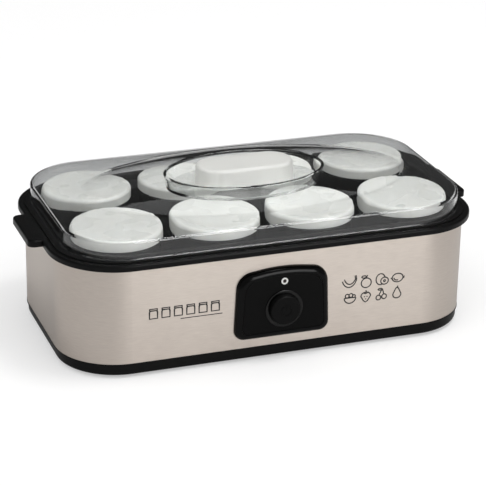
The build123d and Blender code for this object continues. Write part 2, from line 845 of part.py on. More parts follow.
with BuildPart() as mains_terminal:
    with BuildSketch(Plane.XY.offset(base_floor)):
        with Locations((0, terminal_y)):
            RectangleRounded(terminal_length, terminal_width, 1)
    extrude(amount=terminal_height)
    # screw wells and wire passages
    with BuildSketch(Plane.XY.offset(base_floor + terminal_height)):
        with Locations((0, terminal_y)):
            with GridLocations(terminal_pitch, 0, 2, 1):
                Circle(2.2)
    extrude(amount=-4.0, mode=Mode.SUBTRACT)
    with BuildSketch(front_plane(-terminal_y + 7)):
        with Locations((0, base_floor + 3.0)):
            with GridLocations(terminal_pitch, 0, 2, 1):
                Circle(1.6)
    extrude(amount=-14, mode=Mode.SUBTRACT)
write(mains_terminal.part, "mains_terminal")

with BuildPart() as terminal_screws:
    with BuildSketch(Plane.XY.offset(base_floor + 5.0)):
        with Locations((0, terminal_y)):
            with GridLocations(terminal_pitch, 0, 2, 1):
                Circle(1.9)
    extrude(amount=2.0)
    with BuildSketch(Plane.XY.offset(base_floor + 7.0)):
        with Locations((0, terminal_y)):
            with GridLocations(terminal_pitch, 0, 2, 1):
                Rectangle(4.0, 0.6)
    extrude(amount=-0.7, mode=Mode.SUBTRACT)
write(terminal_screws.part, "terminal_screws")

with BuildPart() as cord_bushing:
    # outer flange and tapered sleeve
    with BuildSketch(front_plane(-front_face)):
        with Locations((0, gland_height)):
            Circle(gland_flange_radius)
    extrude(amount=-gland_flange_thickness)
    with BuildSketch(front_plane(-front_face - gland_flange_thickness)):
        with Locations((0, gland_height)):
            Circle(gland_neck_radius + 0.6)
    extrude(amount=-(gland_tail - front_face - gland_flange_thickness), taper=6)
    # neck through band and spigot, and the inner flange behind them
    with BuildSketch(front_plane(-front_face)):
        with Locations((0, gland_height)):
            Circle(gland_neck_radius)
    extrude(amount=band_thickness + slip_gap + spigot_wall)
    with BuildSketch(front_plane(-front_face + band_thickness + slip_gap + spigot_wall)):
        with Locations((0, gland_height)):
            Circle(gland_neck_radius + 1.4)
    extrude(amount=gland_flange_thickness)
    # bore of the cord
    with BuildSketch(front_plane(-gland_tail)):
        with Locations((0, gland_height)):
            Circle(gland_bore_radius)
    extrude(amount=20, mode=Mode.SUBTRACT)
write(cord_bushing.part, "cord_bushing")

# ---------------------------------------------------------------- leads
lead_z = base_floor + 3.0
cable_end_x = -cable_half_run
cable_end_y = (cable_runs - 1) / 2 * cable_pitch

with BuildPart() as mains_leads:
    for side in (-1, 1):
        add(lead([
            (side * terminal_pitch / 2, terminal_y - 4, lead_z),
            (side * terminal_pitch / 2, power_board_y + 8 + side * 4, lead_z),
            (board_corner[0] - 0.2, power_board_y + 8 + side * 4, lead_z),
        ], 8))
write(mains_leads.part, "mains_leads")

with BuildPart() as heater_leads:
    for side in (-1, 1):
        # one lead runs from the board's edge under each end of the heating cable
        add(lead([
            (board_corner[0] - 0.2, power_board_y - 8 + side * 3, lead_z),
            (cable_end_x - 4.0, power_board_y - 8 + side * 3, lead_z),
            (cable_end_x - 4.0, side * cable_end_y, lead_z),
            (cable_end_x - 4.0, side * cable_end_y, cable_height),
            (cable_end_x, side * cable_end_y, cable_height),
        ], [8, 5, 3.9]))
write(heater_leads.part, "heater_leads")

with BuildPart() as signal_leads:
    for place in range(3):
        wire_x = 6 + place * 2.6
        wire_y = slip_gap + lead_radius - board_back
        add(lead([
            (wire_x, wire_y, window_centre_height - board_height / 2 + 3),
            (wire_x, wire_y, lead_z),
            (wire_x, power_board_y - 22 + place * 2.6, lead_z),
            (board_corner[0] - 0.2, power_board_y - 22 + place * 2.6, lead_z),
        ], [6, 5]))
write(signal_leads.part, "signal_leads")

# ---------------------------------------------------------------- jars and caps
shoulder_height = cap_bottom - jar_floor - 1.6


def glass_jar(place_x, place_y):
    """Glass jar turned about its own axis: body, shoulder, neck and rim bead."""
    section = Plane(origin=(place_x, place_y, jar_floor), x_dir=(1, 0, 0), z_dir=(0, -1, 0))
    neck_start = shoulder_height + 2.6
    bead_start = jar_height - 4.0
    inner = jar_neck_radius - jar_wall
    with BuildPart() as jar:
        with BuildSketch(section) as profile:
            with BuildLine():
                Polyline(
                    (0, 0.8),
                    (jar_radius - 9, 0.8),
                    (jar_radius - 7.5, 0),
                    (jar_radius, 0),
                    (jar_radius, shoulder_height),
                    (jar_neck_radius, neck_start),
                    (jar_neck_radius, bead_start),
                    (jar_bead_radius, bead_start + 1),
                    (jar_bead_radius, jar_height),
                    (inner, jar_height),
                    (inner, neck_start - 1.0),
                    (jar_radius - jar_wall, shoulder_height - 4.0),
                    (jar_radius - jar_wall, jar_base),
                    (0, jar_base),
                    close=True,
                )
            make_face()
            heel = profile.vertices().filter_by_position(Axis.X, jar_radius - 0.1, jar_radius + 0.1)
            fillet(heel.sort_by(Axis.Y)[0], radius=3.0)
            inner_wall = profile.vertices().filter_by_position(
                Axis.X, jar_radius - jar_wall - 0.01, jar_radius - jar_wall + 0.01
            )
            fillet(inner_wall.sort_by(Axis.Y)[0], radius=6.0)
            fillet(
                profile.vertices().filter_by_position(Axis.Y, jar_height - 0.1, jar_height + 0.1),
                radius=0.9,
            )
        revolve(axis=Axis((place_x, place_y, 0), (0, 0, 1)))
    return jar.part


def jar_cap(place_x, place_y):
    """Push-on cap turned about its axis, with a raised outer ring and an inner seal lip."""
    section = Plane(origin=(place_x, place_y, 0), x_dir=(1, 0, 0), z_dir=(0, -1, 0))
    ring = cap_radius * 0.78
    lip_outer = jar_neck_radius - jar_wall - moving_gap
    with BuildPart() as cap:
        with BuildSketch(section) as profile:
            with BuildLine():
                Polyline(
                    (0, cap_underside),
                    (lip_outer - cap_lip_wall, cap_underside),
                    (lip_outer - cap_lip_wall, cap_underside - cap_lip_height),
                    (lip_outer, cap_underside - cap_lip_height),
                    (lip_outer, cap_underside),
                    (cap_radius - cap_wall, cap_underside),
                    (cap_radius - cap_wall, cap_bottom),
                    (cap_radius, cap_bottom),
                    (cap_radius, cap_top),
                    (ring, cap_top),
                    (ring - 0.8, cap_top - 0.5),
                    (0, cap_top - 0.5),
                    close=True,
                )
            make_face()
            rim = profile.vertices().filter_by_position(Axis.X, cap_radius - 0.01, cap_radius + 0.01)
            fillet(rim.sort_by(Axis.Y)[-1], radius=cap_edge_radius)
        revolve(axis=Axis((place_x, place_y, 0), (0, 0, 1)))
    return cap.part


jar_number = 0
for row in range(jar_rows):
    for column in range(jar_columns):
        jar_number += 1
        place_x = (column - (jar_columns - 1) / 2) * jar_pitch_x
        place_y = (row - (jar_rows - 1) / 2) * jar_pitch_y
        write(glass_jar(place_x, place_y), f"jar_{jar_number}")
        write(jar_cap(place_x, place_y), f"jar_cap_{jar_number}")


# ---------------------------------------------------------------- clear cover
def ellipse_at(height, half_length, half_width):
    """Horizontal ellipse at a height."""
    with BuildSketch(Plane.XY.offset(height)) as section:
        Ellipse(half_length, half_width)
    return section.sketch.face()


def rounded_at(height, length, width, corner):
    """Horizontal rounded rectangle at a height."""
    with BuildSketch(Plane.XY.offset(height)) as section:
        RectangleRounded(length, width, corner)
    return section.sketch.face()


def slot_at(height, half_length, half_width):
    """Horizontal slot shape at a height."""
    with BuildSketch(Plane.XY.offset(height)) as section:
        SlotOverall(2 * half_length, 2 * half_width)
    return section.sketch.face()


def cover_form(inset):
    """Solid under the cover's skin: outside with no inset, inside with the wall as inset."""
    skirt_length = cover_length - 2 * inset
    skirt_width = cover_width - 2 * inset
    skirt_corner = cover_corner - inset
    skirt_bottom = cover_bottom - inset
    crease = cover_crease_height - inset / 2
    shoulder = shoulder_top - inset
    floor = recess_floor - inset
    with BuildPart() as form:
        # skirt and sloping shoulder
        extrude(
            rounded_at(skirt_bottom, skirt_length, skirt_width, skirt_corner),
            amount=crease - skirt_bottom,
        )
        loft([
            rounded_at(crease, skirt_length, skirt_width, skirt_corner),
            rounded_at(
                shoulder,
                skirt_length - 2 * shoulder_inset,
                skirt_width - 2 * shoulder_inset,
                skirt_corner - shoulder_inset,
            ),
        ], ruled=True)
        fillet(
            form.edges().filter_by_position(Axis.Z, crease - 0.01, crease + 0.01),
            radius=cover_edge_radius - inset / 2,
        )
        # oval dome
        loft([
            ellipse_at(shoulder, dome_half_length - inset, dome_half_width - inset),
            ellipse_at(
                dome_mid_height - inset, dome_mid_half_length - inset, dome_mid_half_width - inset
            ),
            ellipse_at(
                dome_top - inset,
                recess_half_length + crest_width - inset,
                recess_half_width + crest_width - inset,
            ),
        ])
        # oval recess
        loft([
            ellipse_at(
                floor,
                recess_half_length - recess_draft + inset,
                recess_half_width - recess_draft + inset,
            ),
            ellipse_at(dome_top + 1, recess_half_length + inset, recess_half_width + inset),
        ], ruled=True, mode=Mode.SUBTRACT)
        # grip bar, hollow from below
        loft([
            slot_at(floor, grip_half_length + grip_draft - inset, grip_half_width + grip_draft - inset),
            slot_at(grip_top - inset, grip_half_length - inset, grip_half_width - inset),
        ], ruled=True)
        fillet(form.edges().group_by(Axis.Z)[-1], radius=grip_edge_radius - inset / 2)
    return form.part


with BuildPart() as cover:
    add(cover_form(0))
    add(cover_form(cover_wall), mode=Mode.SUBTRACT)
write(cover.part, "cover")
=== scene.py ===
# %% [markdown]
# # A yogurt maker: steel wrapper, clear cover, eight capped jars
#
# The machine is a low heated box. Eight glass jars stand in a dark well, each under a white
# push-on cap, and a clear cover keeps the warmth in. The frame of the machine comes from CAD, so
# every size and place below is read from it, and this lesson adds the surfaces and the light.

# %% Load the frame
import json
import math

import bmesh
import bpy
from mathutils import Matrix, Vector


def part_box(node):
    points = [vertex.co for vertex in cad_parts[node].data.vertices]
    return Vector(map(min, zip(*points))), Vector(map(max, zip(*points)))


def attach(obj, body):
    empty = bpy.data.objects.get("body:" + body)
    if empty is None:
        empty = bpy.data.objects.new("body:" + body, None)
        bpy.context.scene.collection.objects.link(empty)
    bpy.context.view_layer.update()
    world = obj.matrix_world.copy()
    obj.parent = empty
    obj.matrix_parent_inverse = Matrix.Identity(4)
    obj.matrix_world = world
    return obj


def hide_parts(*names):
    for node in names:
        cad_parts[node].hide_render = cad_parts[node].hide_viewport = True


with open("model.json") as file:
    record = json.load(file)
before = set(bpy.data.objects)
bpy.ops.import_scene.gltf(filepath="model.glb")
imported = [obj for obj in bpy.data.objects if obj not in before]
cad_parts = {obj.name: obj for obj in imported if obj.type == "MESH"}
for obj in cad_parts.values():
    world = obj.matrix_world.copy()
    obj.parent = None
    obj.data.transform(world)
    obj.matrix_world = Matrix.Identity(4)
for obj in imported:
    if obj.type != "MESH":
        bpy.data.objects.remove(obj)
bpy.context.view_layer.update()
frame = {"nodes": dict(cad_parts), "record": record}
MM = 0.001


# %% Read places from the frame
def span(node):
    """Lowest and highest corner of a CAD node, in millimetres."""
    low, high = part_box(node)
    return Vector(low) / MM, Vector(high) / MM


band_low, band_high = span("steel_band")
cover_low, cover_high = span("cover")
fascia_low = span("control_fascia")[0]
print("steel band:", [round(v, 1) for v in band_high - band_low], "mm")

# %% [markdown]
# ## The camera
#
# A product shot is taken from a few metres with a long lens, so that parallel edges stay nearly
# parallel. The camera could be aimed with a constraint, but a fixed matrix is easier to repeat:
# its columns are the picture's right, its up, and the way back to the lens. It stands to the
# left of the front, a little above, and is rolled by less than a degree.

# %% Camera
turn = math.radians(-19.87)
rise = math.radians(22.57)
roll = math.radians(0.95)
camera_distance = 1.525
camera_aim = Vector((0.0005, 0.0013, 0.0571))

back = Vector((math.sin(turn) * math.cos(rise), -math.cos(turn) * math.cos(rise), math.sin(rise)))
level_right = (-back).cross(Vector((0, 0, 1))).normalized()
level_up = level_right.cross(-back)
picture_right = level_right * math.cos(roll) + level_up * math.sin(roll)
picture_up = level_up * math.cos(roll) - level_right * math.sin(roll)

camera_data = bpy.data.cameras.new("studio_camera")
camera_data.sensor_width = 36.0
camera_data.lens = 146.4
camera_data.clip_end = 20.0
camera = bpy.data.objects.new("studio_camera", camera_data)
camera.matrix_world = Matrix.Translation(camera_aim + back * camera_distance) @ Matrix(
    (picture_right, picture_up, back)
).transposed().to_4x4()
bpy.context.scene.collection.objects.link(camera)
bpy.context.scene.camera = camera
print("camera at", [round(v, 3) for v in camera.matrix_world.translation])

# %% [markdown]
# ## Helpers for materials
#
# A Principled shader holds most finishes. What is the same all over goes straight on its
# sockets, and what varies, such as grain or brush lines, comes from noise on Object coordinates,
# whose scale is one over a real size in metres.


# %% Material helpers
def linear(hex_colour):
    """Linear colour with alpha from an sRGB hex value such as #D9D4CC."""
    channels = [int(hex_colour[i : i + 2], 16) / 255 for i in (1, 3, 5)]
    return (*[c / 12.92 if c <= 0.04045 else ((c + 0.055) / 1.055) ** 2.4 for c in channels], 1.0)


def add_node(tree, kind, inputs=None, **settings):
    """Adds a node, gives it its settings, and fills its inputs with values or links."""
    node = tree.nodes.new(kind)
    for name, value in settings.items():
        setattr(node, name, value)
    for name, value in (inputs or {}).items():
        if isinstance(value, bpy.types.NodeSocket):
            tree.links.new(value, node.inputs[name])
        else:
            node.inputs[name].default_value = value
    return node


def new_finish(name, colour, **sockets):
    """A material with one Principled shader: returns it, its node tree and the shader."""
    material = bpy.data.materials.new(name)
    material.use_nodes = True
    tree = material.node_tree
    shader = tree.nodes["Principled BSDF"]
    shader.inputs["Base Color"].default_value = linear(colour)
    for socket, value in sockets.items():
        shader.inputs[socket.replace("_", " ")].default_value = value
    return material, tree, shader


def noise(tree, size_mm, detail=2.0):
    """Noise whose blotches have a real size in millimetres; three sizes stretch it."""
    sizes = size_mm if isinstance(size_mm, tuple) else (size_mm,) * 3
    place = add_node(tree, "ShaderNodeTexCoord")
    scaled = add_node(
        tree,
        "ShaderNodeMapping",
        {"Vector": place.outputs["Object"], "Scale": [1 / (size * MM) for size in sizes]},
    )
    made = add_node(
        tree, "ShaderNodeTexNoise", {"Vector": scaled.outputs[0], "Scale": 1.0, "Detail": detail}
    )
    return made.outputs["Fac"]


def vary_roughness(tree, shader, source, low, high):
    """Roughness that follows a noise between two values."""
    span_node = add_node(
        tree,
        "ShaderNodeMapRange",
        {"Value": source, "From Min": 0.3, "From Max": 0.7, "To Min": low, "To Max": high},
    )
    tree.links.new(span_node.outputs[0], shader.inputs["Roughness"])


def vary_colour(tree, shader, source, dark, light):
    """Base colour that follows a noise between two sRGB colours."""
    level = add_node(tree, "ShaderNodeMapRange", {"Value": source, "From Min": 0.3, "From Max": 0.7})
    mixed = add_node(tree, "ShaderNodeMix", data_type="RGBA")
    mixed.inputs[6].default_value = linear(dark)
    mixed.inputs[7].default_value = linear(light)
    tree.links.new(level.outputs[0], mixed.inputs[0])
    tree.links.new(mixed.outputs[2], shader.inputs["Base Color"])


def raise_grain(tree, shader, source, height_mm, strength=1.0):
    """Bump from a noise, with its height in millimetres."""
    bump = add_node(
        tree, "ShaderNodeBump", {"Height": source, "Distance": height_mm * MM, "Strength": strength}
    )
    tree.links.new(bump.outputs[0], shader.inputs["Normal"])


# %% [markdown]
# ## Brushed stainless steel
#
# The wrapper is a strip of 304 stainless steel, brushed along its length before it was bent
# round the body. Brushing leaves fine scratches that all run level, so reflections smear up and
# down: the shader's anisotropy does that, with its direction taken round the machine. Real
# scratches are a few hundredths of a millimetre wide, too fine to show, so here they are drawn
# 0.6 mm wide and 7 mm long. A second, broad noise gives the soft clouds of a rolled sheet.


# %% Brushed stainless steel
def brushed_stainless():
    material, tree, shader = new_finish(
        "brushed_stainless_steel",
        "#D9CFC5",
        Metallic=1.0,
        Roughness=0.34,
        Anisotropic=0.5,
        Anisotropic_Rotation=0.25,
    )
    scratches = noise(tree, (7.0, 7.0, 0.6), detail=3.0)
    clouds = noise(tree, (60.0, 60.0, 90.0), detail=1.0)
    blend = add_node(
        tree,
        "ShaderNodeMix",
        {"Factor": 0.45},
        data_type="FLOAT",
    )
    tree.links.new(scratches, blend.inputs[2])
    tree.links.new(clouds, blend.inputs[3])
    vary_colour(tree, shader, blend.outputs[0], "#D2C7BE", "#DFD5CB")
    vary_roughness(tree, shader, scratches, 0.30, 0.38)
    raise_grain(tree, shader, scratches, 0.006, 0.35)
    tangent = add_node(tree, "ShaderNodeTangent", direction_type="RADIAL", axis="Z")
    tree.links.new(tangent.outputs[0], shader.inputs["Tangent"])
    return material


# %% [markdown]
# ## Moulded plastics
#
# The rim and the base are ABS from a lightly textured mould: satin black with a fine, even
# grain. The well is the same plastic, duller; its dark grey is darkened to near black with
# painted shade, for the shade that falls inside the well. The panel is glossy ABS around a
# satin acrylic plate. The caps are polypropylene, whose milky white lets a little light in. The
# blacks are given less shine than real plastic has: under this light it would turn them grey.


# %% Satin and gloss plastics
def moulded_plastic(
    name, colour, roughness, grain_mm=0.8, grain_height=0.02, shine=0.5, **sockets
):
    """Moulded plastic with the fine, even grain of its mould."""
    material, tree, shader = new_finish(
        name, colour, Roughness=roughness, Specular_IOR_Level=shine, **sockets
    )
    grain = noise(tree, grain_mm)
    vary_roughness(tree, shader, grain, roughness * 0.85, roughness * 1.15)
    raise_grain(tree, shader, grain, grain_height, 0.6)
    return material


def milky_polypropylene():
    """Glossy white polypropylene: light sinks in about two millimetres and comes back warm."""
    material, tree, shader = new_finish(
        "white_polypropylene",
        "#DCDCD8",
        Roughness=0.28,
        IOR=1.49,
        Subsurface_Weight=0.12,
        Subsurface_Scale=0.002,
    )
    shader.inputs["Subsurface Radius"].default_value = (1.0, 0.9, 0.75)
    waves = noise(tree, 18.0, detail=1.0)
    vary_roughness(tree, shader, waves, 0.22, 0.34)
    raise_grain(tree, shader, waves, 0.03, 0.4)
    return material


# %% [markdown]
# ## Clear plastic and glass
#
# The cover is clear styrene plastic, two millimetres thick, with a frosted grip, where the
# mould was blasted with grit. The jars are soda-lime glass. A ray tracer bends light in both, but
# then no lamp lights what is inside, because a lamp's ray isn't bent. The usual answer is to let
# lamp rays pass straight through with a Transparent shader, and keep the real glass for all other
# rays.


# %% Clear materials
def clear_material(name, colour, ior, roughness, clear=1.0, grain_mm=35.0, grain_height=0.004):
    """Clear or frosted solid that lets lamp light straight through."""
    material, tree, shader = new_finish(
        name, colour, Roughness=roughness, IOR=ior, Transmission_Weight=clear
    )
    ripples = noise(tree, grain_mm, detail=1.0)
    raise_grain(tree, shader, ripples, grain_height, 0.3)
    path = add_node(tree, "ShaderNodeLightPath")
    passing = add_node(tree, "ShaderNodeBsdfTransparent", {"Color": (0.96, 0.97, 0.97, 1.0)})
    choice = add_node(tree, "ShaderNodeMixShader", {0: path.outputs["Is Shadow Ray"]})
    tree.links.new(shader.outputs[0], choice.inputs[1])
    tree.links.new(passing.outputs[0], choice.inputs[2])
    tree.links.new(choice.outputs[0], tree.nodes["Material Output"].inputs["Surface"])
    return material


# %% Plain metals and small electric parts
def worked_metal(name, colour, roughness, streak_mm):
    """Bare metal with the marks of how it was worked."""
    material, tree, shader = new_finish(name, colour, Metallic=1.0, Roughness=roughness)
    marks = noise(tree, streak_mm, detail=2.0)
    vary_roughness(tree, shader, marks, roughness * 0.8, roughness * 1.25)
    raise_grain(tree, shader, marks, 0.008, 0.5)
    return material


finishes = {
    # soft upright glints over level scratches
    "brushed_steel": brushed_stainless(),
    # blacks of different depth, from dull to glossy; little shine keeps them dark under the lamps
    "black_plastic": moulded_plastic("satin_black_abs", "#0D0D0D", 0.34, shine=0.13),
    # the well's near black is partly painted shade: its dark grey plastic, darkened for the shade
    # inside the well
    "well_plastic": moulded_plastic("well_abs_painted_shade", "#0E0E0E", 0.45, shine=0.1),
    "bezel_gloss": moulded_plastic("gloss_black_abs", "#040404", 0.16, 6.0, 0.01, shine=0.14),
    "fascia_gloss": moulded_plastic("satin_acrylic", "#0C0C0C", 0.36, 0.8, 0.01, shine=0.07),
    "ring_black": moulded_plastic("gloss_black_ring", "#040404", 0.12, 6.0, 0.01, shine=0.3),
    "button_black": moulded_plastic("button_abs", "#0E0E0E", 0.32, 0.8, 0.01, shine=0.08),
    # milky white, then the clear, frosted and glass finishes that let light through
    "cap_white": milky_polypropylene(),
    "clear_cover": clear_material("clear_styrene", "#FBFCFC", 1.54, 0.02),
    "frosted_cover": clear_material("frosted_styrene", "#EFEFEC", 1.54, 0.42, 0.5, 1.0, 0.02),
    "jar_glass": clear_material("soda_lime_glass", "#F4F8F6", 1.52, 0.01),
    # dull rubber and soft PVC, with only a broad, faint highlight
    "foot_rubber": moulded_plastic("black_rubber", "#141414", 0.75, 1.0, 0.03),
    "bushing_rubber": moulded_plastic("bushing_pvc", "#161616", 0.6, 1.0, 0.03),
    # indicator and the small electric parts, each in its usual colour
    "indicator_white": moulded_plastic("white_light_guide", "#F2F2EE", 0.3, 2.0, 0.005),
    "lens_dark": moulded_plastic("smoked_red_lens", "#1E0806", 0.12, 2.0, 0.003),
    "led_red": moulded_plastic("red_epoxy", "#8C1610", 0.15, 2.0, 0.003),
    "board_green": moulded_plastic("solder_mask", "#12492A", 0.35, 1.2, 0.02),
    "switch_black": moulded_plastic("switch_nylon", "#171717", 0.5),
    "relay_blue": moulded_plastic("relay_case", "#24518A", 0.3),
    "capacitor_red": moulded_plastic("dipped_epoxy", "#7A1B14", 0.22, 3.0, 0.05),
    "terminal_white": moulded_plastic("terminal_nylon", "#DCDACF", 0.5),
    "plunger_white": moulded_plastic("plunger_nylon", "#E4E2DA", 0.45),
    "lead_sleeve": moulded_plastic("silicone_sleeve", "#8E2A20", 0.55, 1.5, 0.03),
    "cable_silicone": moulded_plastic("heating_cable_silicone", "#CFC9BC", 0.6, 1.5, 0.03),
    "mica_sheet": moulded_plastic("mica_paper", "#A58A5C", 0.5, 4.0, 0.05),
    "thermostat_body": moulded_plastic("phenolic_resin", "#7A4A26", 0.45),
    # bare metals, whose marks break up their reflections
    "plate_aluminium": worked_metal("rolled_aluminium", "#C9CACB", 0.34, (25.0, 1.0, 1.0)),
    "fuse_metal": worked_metal("tinned_steel", "#BDBDBD", 0.3, 2.0),
    "screw_steel": worked_metal("zinc_plated_steel", "#B9BABD", 0.28, 1.5),
}
print("finishes:", len(finishes))

# %% Give every CAD piece its finish
slot_of = {row["node"]: row["material_slot"] for row in frame["record"]["subparts"]}
for node_name, piece in frame["nodes"].items():
    piece.data.materials.clear()
    piece.data.materials.append(finishes[slot_of[node_name]])
print("painted", len(frame["nodes"]), "CAD pieces")

# %% [markdown]
# ## Helpers for shapes
#
# Three kinds of shape make up this machine. Hoops and shells follow a rounded rectangle, so they
# are grown ring by ring: the open edge of a mesh is extruded and the new ring is laid on the next
# outline. Caps, jars and the button are turned: a profile is spun about an axis. Thin printed
# lines are curves. Sharp edges are bevelled, because no moulded edge is truly sharp.


# %% Finish a mesh as a piece
def soften(bm, radius_mm, steps=3, least_angle=28, chosen=None):
    """Rounds the edges that turn by more than an angle."""
    edges = [
        edge
        for edge in bm.edges
        if len(edge.link_faces) == 2
        and edge.calc_face_angle(0) > math.radians(least_angle)
        and (chosen is None or chosen(edge))
    ]
    bmesh.ops.bevel(
        bm,
        geom=edges,
        offset=radius_mm * MM,
        segments=steps,
        profile=0.5,
        affect="EDGES",
        material=-1,
        clamp_overlap=True,
    )


def finish_piece(bm, name, body, slot, replaced=()):
    """Turns a bmesh into a smooth piece that rides on a body and stands for CAD nodes."""
    bmesh.ops.recalc_face_normals(bm, faces=bm.faces)
    mesh = bpy.data.meshes.new(name)
    bm.to_mesh(mesh)
    bm.free()
    mesh.shade_smooth()
    mesh.set_sharp_from_angle(angle=math.radians(40))
    mesh.materials.append(finishes[slot])
    piece = bpy.data.objects.new(name, mesh)
    bpy.context.scene.collection.objects.link(piece)
    weighted = piece.modifiers.new("even_shading", "WEIGHTED_NORMAL")
    weighted.keep_sharp = True
    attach(piece, body)
    if replaced:
        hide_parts(*replaced)
    print(name, len(mesh.polygons), "faces")
    return piece


# %% Outlines as rings of points
corner_steps = 24
long_side_steps = 32
short_side_steps = 14


def rounded_ring(half_x, half_y, corner):
    """Points round a rounded rectangle, the same number on every ring."""
    points = []
    corner = min(corner, half_x, half_y)
    for quarter in range(4):
        sign_x = 1 if quarter in (0, 3) else -1
        sign_y = 1 if quarter in (0, 1) else -1
        centre = Vector((sign_x * (half_x - corner), sign_y * (half_y - corner)))
        for step in range(corner_steps + 1):
            angle = (quarter + step / corner_steps) * math.pi / 2
            points.append(centre + corner * Vector((math.cos(angle), math.sin(angle))))
        # straight side on to the next corner
        side_steps = long_side_steps if quarter % 2 == 0 else short_side_steps
        run_x = -2 * (half_x - corner) * sign_x if quarter % 2 == 0 else 0.0
        run_y = -2 * (half_y - corner) * sign_y if quarter % 2 == 1 else 0.0
        start = points[-1]
        for step in range(1, side_steps):
            points.append(start + Vector((run_x, run_y)) * step / side_steps)
    return points


def oval_ring(half_x, half_y, like):
    """Points round an ellipse, each beside the matching point of another ring."""
    reach_x = max(point.x for point in like)
    reach_y = max(point.y for point in like)
    points = []
    for point in like:
        angle = math.atan2(point.y / reach_y, point.x / reach_x)
        points.append(Vector((half_x * math.cos(angle), half_y * math.sin(angle))))
    return points


# %% Grow a mesh ring by ring
def lay_ring(verts, points, level, facing_front=False):
    """Moves a ring's vertices on to an outline: level at a height, or upright at a depth."""
    for vert, point in zip(verts, points):
        if facing_front:
            vert.co = Vector((point.x, level, point.y)) * MM
        else:
            vert.co = Vector((point.x, point.y, level)) * MM


def first_ring(bm, points, level, facing_front=False):
    """A closed loop of edges laid on an outline."""
    made = bmesh.ops.create_circle(bm, segments=len(points), radius=1.0)
    lay_ring(made["verts"], points, level, facing_front)
    return made["verts"]


def ring_edges(bm, ring):
    """The edges of a closed loop of vertices."""
    return [bm.edges.get((ring[i - 1], ring[i])) for i in range(len(ring))]


def next_ring(bm, ring, points, level, facing_front=False):
    """Extrudes the open loop and lays the new one on an outline."""
    made = bmesh.ops.extrude_edge_only(bm, edges=ring_edges(bm, ring))
    old = set(ring)
    partner = {}
    for vert in made["geom"]:
        if isinstance(vert, bmesh.types.BMVert):
            for edge in vert.link_edges:
                if edge.other_vert(vert) in old:
                    partner[edge.other_vert(vert)] = vert
    grown = [partner[vert] for vert in ring]
    lay_ring(grown, points, level, facing_front)
    return grown


def close_ring(bm, ring):
    """Fills a loop with one flat face."""
    bmesh.ops.contextual_create(bm, geom=ring_edges(bm, ring))


# %% [markdown]
# ## The clear cover
#
# The cover is one moulding: a short upright skirt, a rounded edge, a sloping shoulder, a shallow
# oval dome, an oval recess sunk in the dome, and a hollow grip bar that stands in the recess. It
# could be sculpted as a subdivision surface, but its wall has to be even for the plastic to look
# right, so both skins are grown ring by ring from the same rule: the inner one is the same
# outline, smaller by the wall. The two skins meet under the skirt.

# %% Sizes of the cover
cover_half_x = cover_high.x
cover_half_y = cover_high.y
skirt_bottom = cover_low.z
grip_top = cover_high.z
cover_wall = 2.0
cover_corner = 46.2
crease_height = 106.4
edge_round = 2.2
shoulder_inset = 14.0
shoulder_top = 110.6
recess_half_x, recess_half_y = 61.0, 38.0
recess_draft = 2.0
recess_floor = 109.4
crest_width = 1.2
grip_half_x, grip_half_y = 38.0, 17.0
grip_draft = 1.2
grip_round = 2.6
edge_steps, dome_steps, grip_steps = 6, 12, 5
dome_stages = (
    (134.0, 70.5, shoulder_top),
    (97.0, 54.5, 116.4),
    (recess_half_x + crest_width, recess_half_y + crest_width, 119.6),
)
slope = math.atan2(shoulder_top - crease_height, shoulder_inset)


def dome_at(share):
    """Half length, half width and height of the dome, from its foot at 0 to its crest at 1."""
    foot, middle, crest = (Vector(stage) for stage in dome_stages)
    return (
        foot * (1 - share) * (1 - 2 * share)
        + middle * 4 * share * (1 - share)
        + crest * share * (2 * share - 1)
    )


# %% Grow one skin of the cover
def cover_skin(bm, inset, skirt_ring):
    """Grows a skin from the loop under the skirt as far as the foot of the grip."""
    half_x, half_y = cover_half_x - inset, cover_half_y - inset
    corner = cover_corner - inset
    crease = crease_height - inset / 2
    round_radius = edge_round - inset / 2
    foot_lift = shoulder_top - inset
    ring = skirt_ring
    # rounded edge between the skirt and the shoulder
    tangent = round_radius * math.tan((math.pi / 2 - slope) / 2)
    for step in range(edge_steps + 1):
        angle = step / edge_steps * (math.pi / 2 - slope)
        pull = round_radius * (1 - math.cos(angle))
        height = crease - tangent + round_radius * math.sin(angle)
        points = rounded_ring(half_x - pull, half_y - pull, corner - pull)
        ring = next_ring(bm, ring, points, height)
    # shoulder, and the flat strip between its corners and the oval
    top_corner = rounded_ring(
        half_x - shoulder_inset, half_y - shoulder_inset, corner - shoulder_inset
    )
    ring = next_ring(bm, ring, top_corner, foot_lift)
    # dome, as far as the wall of the recess: the inner skin stops short of it, to keep its wall
    last_share = 1.0
    while inset and dome_at(last_share).x - inset < recess_half_x + inset + 0.3:
        last_share -= 0.01
    for step in range(dome_steps + 1):
        half_length, half_width, height = dome_at(last_share * step / dome_steps)
        points = oval_ring(half_length - inset, half_width - inset, top_corner)
        ring = next_ring(bm, ring, points, height - inset + (0.02 if step == 0 else 0.0))
    crest_height = dome_at(last_share).z - inset
    # wall and floor of the recess
    wall_x, wall_y = recess_half_x + inset, recess_half_y + inset
    ring = next_ring(bm, ring, oval_ring(wall_x, wall_y, top_corner), crest_height)
    floor = recess_floor - inset
    foot_ring = oval_ring(wall_x - recess_draft, wall_y - recess_draft, top_corner)
    ring = next_ring(bm, ring, foot_ring, floor)
    # opening under the grip
    return next_ring(bm, ring, grip_foot(inset), floor)


# %% Grow one skin of the grip
def grip_foot(inset):
    """Outline of the grip where it meets the recess floor."""
    half_x = grip_half_x + grip_draft - inset
    half_y = grip_half_y + grip_draft - inset
    return rounded_ring(half_x, half_y, half_y)


